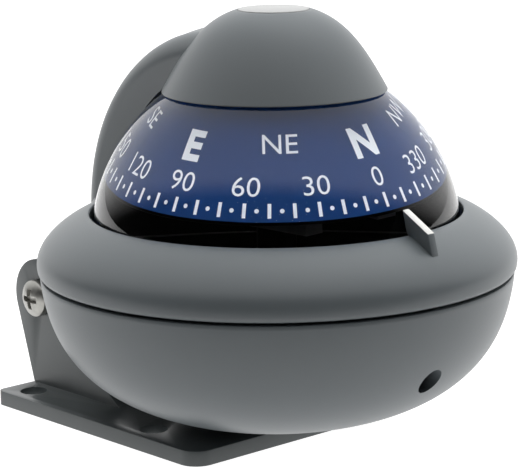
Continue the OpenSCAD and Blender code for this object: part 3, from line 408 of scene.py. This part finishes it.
# The dome is clear cast acrylic with a flange that is clamped to the cup. It is polished inside and out,
# which gives the eye sharp reflections. The capsule is full of clear oil, so the inner face bends light
# only by the small step from acrylic to oil. The inner face of its skirt is coloured black as painted
# shade, which stands in for the unlit inside of the capsule.
ACRYLIC_IOR, OIL_IOR = 1.49, 1.45
IN_OIL = NYLON_IOR / OIL_IOR
POLISH_PATCH, HAZE = 6, 0.012
DOME_R, DOME_WALL = 26.8, 1.6
FLANGE_R, FLANGE_TOP, FLANGE_FOOT = 31.0, 1.2, -0.6


def clear(name, ior):
    """Clear plastic with the faint uneven haze that a polishing wheel leaves, in patches."""
    material = bpy.data.materials.new(name)
    material.use_nodes = True
    shader = material.node_tree.nodes["Principled BSDF"]
    place = add_node(material, "ShaderNodeTexCoord", {}).outputs["Object"]
    patch = add_node(material, "ShaderNodeTexNoise", {
        "Vector": place, "Scale": 1000 / POLISH_PATCH, "Detail": 2.0})
    haze = add_node(material, "ShaderNodeMapRange", {
        "Value": patch.outputs["Fac"], "To Min": 0.0, "To Max": HAZE})
    material.node_tree.links.new(haze.outputs["Result"], shader.inputs["Roughness"])
    shader.inputs["Base Color"].default_value = (1, 1, 1, 1)
    shader.inputs["IOR"].default_value = ior
    shader.inputs["Transmission Weight"].default_value = 1.0
    return material


acrylic = clear("polished_acrylic", ACRYLIC_IOR)
acrylic_on_oil = clear("acrylic_against_oil", ACRYLIC_IOR / OIL_IOR)
black_nylon = mottled("black_nylon", "#040506", "#07080a", patch_mm=6, rough=0.45, rough_spread=0.05,
                      grain_mm=0.5, grain_depth_mm=0.004, IOR=IN_OIL)
dome = bmesh.new()
wet_r = DOME_R - DOME_WALL
quarter = np.radians(np.linspace(90, 0, 49))[1:]
dry = [(0.0, DOME_Z + DOME_R)] + [(DOME_R * math.cos(a), DOME_Z + DOME_R * math.sin(a)) for a in quarter]
wet = [(0.0, DOME_Z + wet_r)] + [(wet_r * math.cos(a), DOME_Z + wet_r * math.sin(a)) for a in quarter]
flange = [(DOME_R, FLANGE_TOP), (FLANGE_R, FLANGE_TOP), (FLANGE_R, FLANGE_FOOT), (wet_r, FLANGE_FOOT)]
spin_section(dome, dry + flange + wet[::-1], steps=192, closed=False)
for face in dome.faces:
    spot = face.calc_center_median() - dome_middle
    inward = face.normal.dot(Vector((spot.x, spot.y, max(spot.z, 0)))) < 0
    # Painted shade: the inner face of the skirt, below the dome's middle, gets the black nylon.
    face.material_index = (2 if spot.z < 0 else 1) if inward else 0
into_case(dome)
show(dome, "dome_shell", [acrylic, acrylic_on_oil, black_nylon], "case", "dome")

# The dial is a moulded cone of blue plastic with a rolled lower edge, and it turns in the oil. Wet plastic
# hardly shines, so the eye sees a deep, even blue. Its flat top, under the hood, and every face that turns
# down, the under-turn of the rolled edge too, are coloured black as painted shade.
CARD_LOW, CARD_TOP, CARD_SKIN, CARD_STEP = (19.26, 9.8), (11.9, 24.2), 0.9, 0.1
CARD_EDGE = [(18.45, 9.8), (18.72, 9.86), (18.9, 10.02), (18.98, 10.35)]
CARD_INSIDE = [(0, CARD_TOP[1] - CARD_SKIN), (CARD_TOP[0] - CARD_SKIN / 2, CARD_TOP[1] - CARD_SKIN),
               (CARD_LOW[0] - CARD_SKIN, CARD_LOW[1] + CARD_STEP)]
FACES_DOWN = -0.2
dial_blue = mottled("dial_plastic", "#193768", "#1c3c72", patch_mm=9, rough=0.5, rough_spread=0.05,
                    grain_mm=0.6, grain_depth_mm=0.003, IOR=IN_OIL)
card = bmesh.new()
spin_section(card, CARD_EDGE + [CARD_TOP, (0, CARD_TOP[1])] + CARD_INSIDE, steps=192)
# Painted shade: the flat top under the hood and every face that turns down get the black nylon.
for face in card.faces:
    on_top = face.calc_center_median().z > CARD_TOP[1] - CARD_SKIN / 2
    face.material_index = 1 if on_top or face.normal.z < FACES_DOWN else 0
into_case(card)
show(card, "dial_cone", [dial_blue, black_nylon], "card", "dial_card")

# The marks are printed on the cone in white ink, which gives the eye a flat and clean white. Bars stand at
# every ten degrees, with dots half way between, figures at every thirty degrees and points above them.
HEADING = 4.9
INK_TALL, FOLD_HALF, FOLD_STEP = 0.03, 3.5, 0.5
SCALE_R, FIGURE_R, POINT_R, CARDINAL_R = 18.32, 16.92, 14.35, 14.78
BAR_WIDE, BAR_TALL, DOT_R = 0.46, 1.9, 0.29
dial_ink = mottled("dial_ink", "#e3e9f4", "#f2f6fc", patch_mm=3, rough=0.5, rough_spread=0.05,
                   grain_mm=0.4, grain_depth_mm=0.002, IOR=IN_OIL)
cone = Vector((CARD_TOP[0] - CARD_LOW[0], CARD_TOP[1] - CARD_LOW[1])).normalized()
marks = bmesh.new()


def print_on_dial(shape, heading, radius):
    """Rolls a flat mark, drawn about the origin with y up the cone, on to the dial at a heading."""
    for x in np.arange(-FOLD_HALF, FOLD_HALF + FOLD_STEP / 2, FOLD_STEP):
        bmesh.ops.bisect_plane(shape, geom=shape.verts[:] + shape.edges[:] + shape.faces[:],
                               plane_co=(x, 0, 0), plane_no=(1, 0, 0))
    for vert in shape.verts:
        up_cone = (radius - CARD_LOW[0]) / cone.x + vert.co.y
        r = CARD_LOW[0] + cone.x * up_cone + INK_TALL * cone.y
        turn = math.radians(heading - HEADING) - vert.co.x / r
        z = CARD_LOW[1] + cone.y * up_cone - INK_TALL * cone.x
        vert.co = (-r * math.sin(turn), -r * math.cos(turn), z)
    add_part(marks, shape)


def lettered(words, tall, width, weight):
    """A flat mesh of words, centred on the origin and made as tall as asked."""
    text = bpy.data.curves.new("mark", "FONT")
    text.body, text.align_x, text.align_y = words, "CENTER", "CENTER"
    text.size, text.offset, text.resolution_u = 1.0, weight, 4
    holder = bpy.data.objects.new("mark", text)
    bpy.context.scene.collection.objects.link(holder)
    shape = bmesh.new()
    shape.from_mesh(holder.to_mesh())
    bpy.data.objects.remove(holder)
    low = [min(v.co[i] for v in shape.verts) for i in (0, 1)]
    high = [max(v.co[i] for v in shape.verts) for i in (0, 1)]
    bmesh.ops.translate(shape, verts=shape.verts, vec=(-(low[0] + high[0]) / 2, -(low[1] + high[1]) / 2, 0))
    grow = tall / (high[1] - low[1])
    bmesh.ops.scale(shape, verts=shape.verts, vec=(grow * width, grow, 1))
    return shape


for heading in range(0, 360, 10):
    bar = bmesh.new()
    bmesh.ops.create_grid(bar, x_segments=1, y_segments=1, size=0.5)
    bmesh.ops.scale(bar, verts=bar.verts, vec=(BAR_WIDE, BAR_TALL, 1))
    print_on_dial(bar, heading, SCALE_R)
    dot = bmesh.new()
    bmesh.ops.create_circle(dot, cap_ends=True, segments=16, radius=DOT_R)
    print_on_dial(dot, heading + 5, SCALE_R)
for heading in range(0, 360, 30):
    print_on_dial(lettered(str(heading), tall=2.5, width=1.08, weight=-0.004), heading, FIGURE_R)
for heading, point in zip(range(45, 360, 90), ("NE", "SE", "SW", "NW")):
    print_on_dial(lettered(point, tall=2.6, width=1.0, weight=0.0), heading, POINT_R)
for heading, point in zip(range(0, 360, 90), "NESW"):
    print_on_dial(lettered(point, tall=4.2, width=0.98, weight=0.04), heading, CARDINAL_R)
into_case(marks)
show(marks, "dial_marks", [dial_ink], "card", None)

# The parts inside the capsule and the bowl keep the shape of their solids and get the finish of the
# stock that they are made from. The black nylon and the stainless steel are those used above.
# Moulded rubber is dull and nearly black, with a dusty nap.
rubber = mottled("black_rubber", "#131314", "#1b1b1c", patch_mm=5, rough=0.7, rough_spread=0.06,
                 grain_mm=0.35, grain_depth_mm=0.01)
# Turned brass has a warm, soft shine. On the shafts deep in their bores it is darkened as painted shade.
brass = mottled("turned_brass", "#9c7a3a", "#b8944c", patch_mm=2, rough=0.36, rough_spread=0.08,
                grain_mm=0.3, grain_depth_mm=0.003, Metallic=1.0)
brass_in_bore_shade = mottled("brass_darkened_as_shade", "#161412", "#201d1a", patch_mm=2, rough=0.5, rough_spread=0.06,
                      grain_mm=0.3, grain_depth_mm=0.003, Metallic=1.0)
# Stamped aluminium is pale and satin, and a sintered magnet is a rough, dark metal.
aluminium = mottled("stamped_aluminium", "#a5a7a7", "#b9bbbb", patch_mm=3, rough=0.4, rough_spread=0.06,
                    grain_mm=0.3, grain_depth_mm=0.003, Metallic=1.0)
magnet = mottled("sintered_magnet", "#4b4c4f", "#5c5d60", patch_mm=1.5, rough=0.55, rough_spread=0.08,
                 grain_mm=0.25, grain_depth_mm=0.008, Metallic=0.8)
# White nylon is a soft ivory. A polished ruby and the lamp's moulded lens both have a wet gloss.
white_nylon = mottled("white_nylon", "#d5d5cf", "#e2e2dc", patch_mm=5, rough=0.4, rough_spread=0.05,
                      grain_mm=0.5, grain_depth_mm=0.003)
ruby = mottled("synthetic_ruby", "#7c1230", "#8e1a3a", patch_mm=1, rough=0.1, rough_spread=0.02,
               grain_mm=0.5, grain_depth_mm=0.0005)
lens = mottled("lamp_lens", "#cfe6d8", "#dcefe3", patch_mm=2, rough=0.15, rough_spread=0.03,
               grain_mm=0.5, grain_depth_mm=0.001)
for names, material in (
        (("capsule_base", "pivot_post", "card_hub", "compensator_frame"), black_nylon),
        (("dome_seal", "diaphragm", "friction_washers", "wire_grommet"), rubber),
        (("pivot_inserts", "filler_plug"), brass),
        # Painted shade: the compensator shafts get brass darkened nearly to black, for the shade of their
        # bores.
        (("fore_aft_compensator", "athwart_compensator"), brass_in_bore_shade),
        (("capsule_screws", "frame_screws", "pivot_pin"), stainless),
        (("card_magnets", "fore_aft_magnet", "athwart_magnet"), magnet),
        (("diaphragm_ring",), aluminium),
        (("lamp_holder",), white_nylon),
        (("jewel",), ruby),
        (("lamp",), lens)):
    for name in names:
        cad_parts[name].data.materials.clear()
        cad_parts[name].data.materials.append(material)

# The studio is a table of opal acrylic, which glows evenly, in a white tent. Two black flags keep light
# off the camera's side: a net hung in the tent and a cloth on the table. Both thin out to nothing and are
# out of the camera's sight, so that the part stands on plain white. Lengths are in metres.
TABLE_HALF, NET_R = 3.0, 2.0
TABLE_GAP, CLOTH_LIFT, CLOTH_START = 0.00005, 0.00003, -0.03
NET_THICK, NET_CLEAR, NET_ALONG = 0.18 * NET_R, 0.45 * NET_R, Vector((0.05, 0.5, 1.0))
CLOTH_THICK, CLOTH_ALONG, CLOTH_LEAST = -0.17, Vector((0, 1, 0)), 0.1
TENT_GLOW, TABLE_GLOW, LAMP_WIDE = 1.2, 1.0, 1.0
WHITE = (1, 1, 1, 1)
table_z = cad_box[0][2] - TABLE_GAP


def stage_piece(bm, name, material):
    """Makes a finished mesh a piece of the studio."""
    piece = to_object(bm, name)
    piece.data.materials.append(material)
    return piece


def flag(name, along, thick_at, clear_at, clear_least):
    """Black cloth that thins out along a direction, from the case's axis, between two distances."""
    material = mottled(name, "#040404", "#080808", patch_mm=3, rough=0.9, rough_spread=0.02,
                       grain_mm=0.5, grain_depth_mm=0.0)
    nodes = material.node_tree.nodes
    place = add_node(material, "ShaderNodeTexCoord", {}).outputs["Object"]
    from_axis = add_node(material, "ShaderNodeVectorMath", {"operation": "SUBTRACT", 0: place, 1: AXIS})
    distance = add_node(material, "ShaderNodeVectorMath", {
        "operation": "DOT_PRODUCT", 0: from_axis.outputs["Vector"], 1: camera_side @ along})
    thinning = add_node(material, "ShaderNodeMapRange", {
        "interpolation_type": "SMOOTHSTEP", "Value": distance.outputs["Value"], "From Min": thick_at,
        "From Max": clear_at, "To Min": clear_least, "To Max": 1.0})
    gauze = add_node(material, "ShaderNodeMixShader", {
        0: thinning.outputs["Result"], 1: nodes["Principled BSDF"].outputs[0],
        2: add_node(material, "ShaderNodeBsdfTransparent", {}).outputs[0]})
    material.node_tree.links.new(gauze.outputs[0], nodes["Material Output"].inputs["Surface"])
    return material


def soft_box(name, power, place):
    """A square lamp that faces the compass, and that no shiny face mirrors."""
    lamp = bpy.data.lights.new(name, "AREA")
    lamp.size = LAMP_WIDE
    lamp.energy = power
    light = bpy.data.objects.new(name, lamp)
    toward = camera_side @ Vector(place)
    light.location = AXIS + toward
    light.rotation_euler = toward.to_track_quat("Z", "Y").to_euler()
    light.visible_glossy = False
    bpy.context.scene.collection.objects.link(light)
    return light


opal = mottled("opal_acrylic", "#7c7c7c", "#7f7f7f", patch_mm=60, rough=0.8, rough_spread=0.02,
               grain_mm=2, grain_depth_mm=0.0)
opal_shader = opal.node_tree.nodes["Principled BSDF"]
opal_shader.inputs["Emission Color"].default_value = WHITE
opal_shader.inputs["Emission Strength"].default_value = TABLE_GLOW
table = bmesh.new()
bmesh.ops.create_grid(table, x_segments=1, y_segments=1, size=TABLE_HALF)
bmesh.ops.translate(table, verts=table.verts, vec=(0, 0, table_z))
stage_piece(table, "table", opal)
net = bmesh.new()
bmesh.ops.create_uvsphere(net, u_segments=64, v_segments=32, radius=NET_R)
bmesh.ops.translate(net, verts=net.verts, vec=AXIS)
bmesh.ops.delete(net, geom=[v for v in net.verts if v.co.z < table_z], context="VERTS")
black_net = flag("black_net", NET_ALONG, NET_THICK, NET_CLEAR, 0.0)
stage_piece(net, "black_net", black_net).visible_camera = False
cloth = bmesh.new()
bmesh.ops.create_grid(cloth, x_segments=1, y_segments=1, size=TABLE_HALF / 2)
bmesh.ops.transform(cloth, verts=cloth.verts, matrix=(
    Matrix.Translation((AXIS.x, AXIS.y, table_z + CLOTH_LIFT))
    @ camera_side
    @ Matrix.Translation((0, CLOTH_START - TABLE_HALF / 2, 0))
    @ Matrix.Diagonal((2, 1, 1, 1))))
black_cloth = flag("black_cloth", CLOTH_ALONG, CLOTH_THICK, CLOTH_START, CLOTH_LEAST)
stage_piece(cloth, "black_cloth", black_cloth).visible_camera = False
world = bpy.data.worlds.new("tent")
world.use_nodes = True
world.node_tree.nodes["Background"].inputs["Color"].default_value = WHITE
world.node_tree.nodes["Background"].inputs["Strength"].default_value = TENT_GLOW
bpy.context.scene.world = world
soft_box("overhead", power=16.0, place=(0.25, 0.45, 1.1))
# This lamp's light counts only where it comes through the dome, so it lights the dial alone.
dial_fill = soft_box("dial_fill", power=13.5, place=(0.0, -0.75, 0.8))
dial_fill.visible_diffuse = False
dial_fill.visible_camera = False
bpy.context.scene.view_settings.view_transform = "Standard"
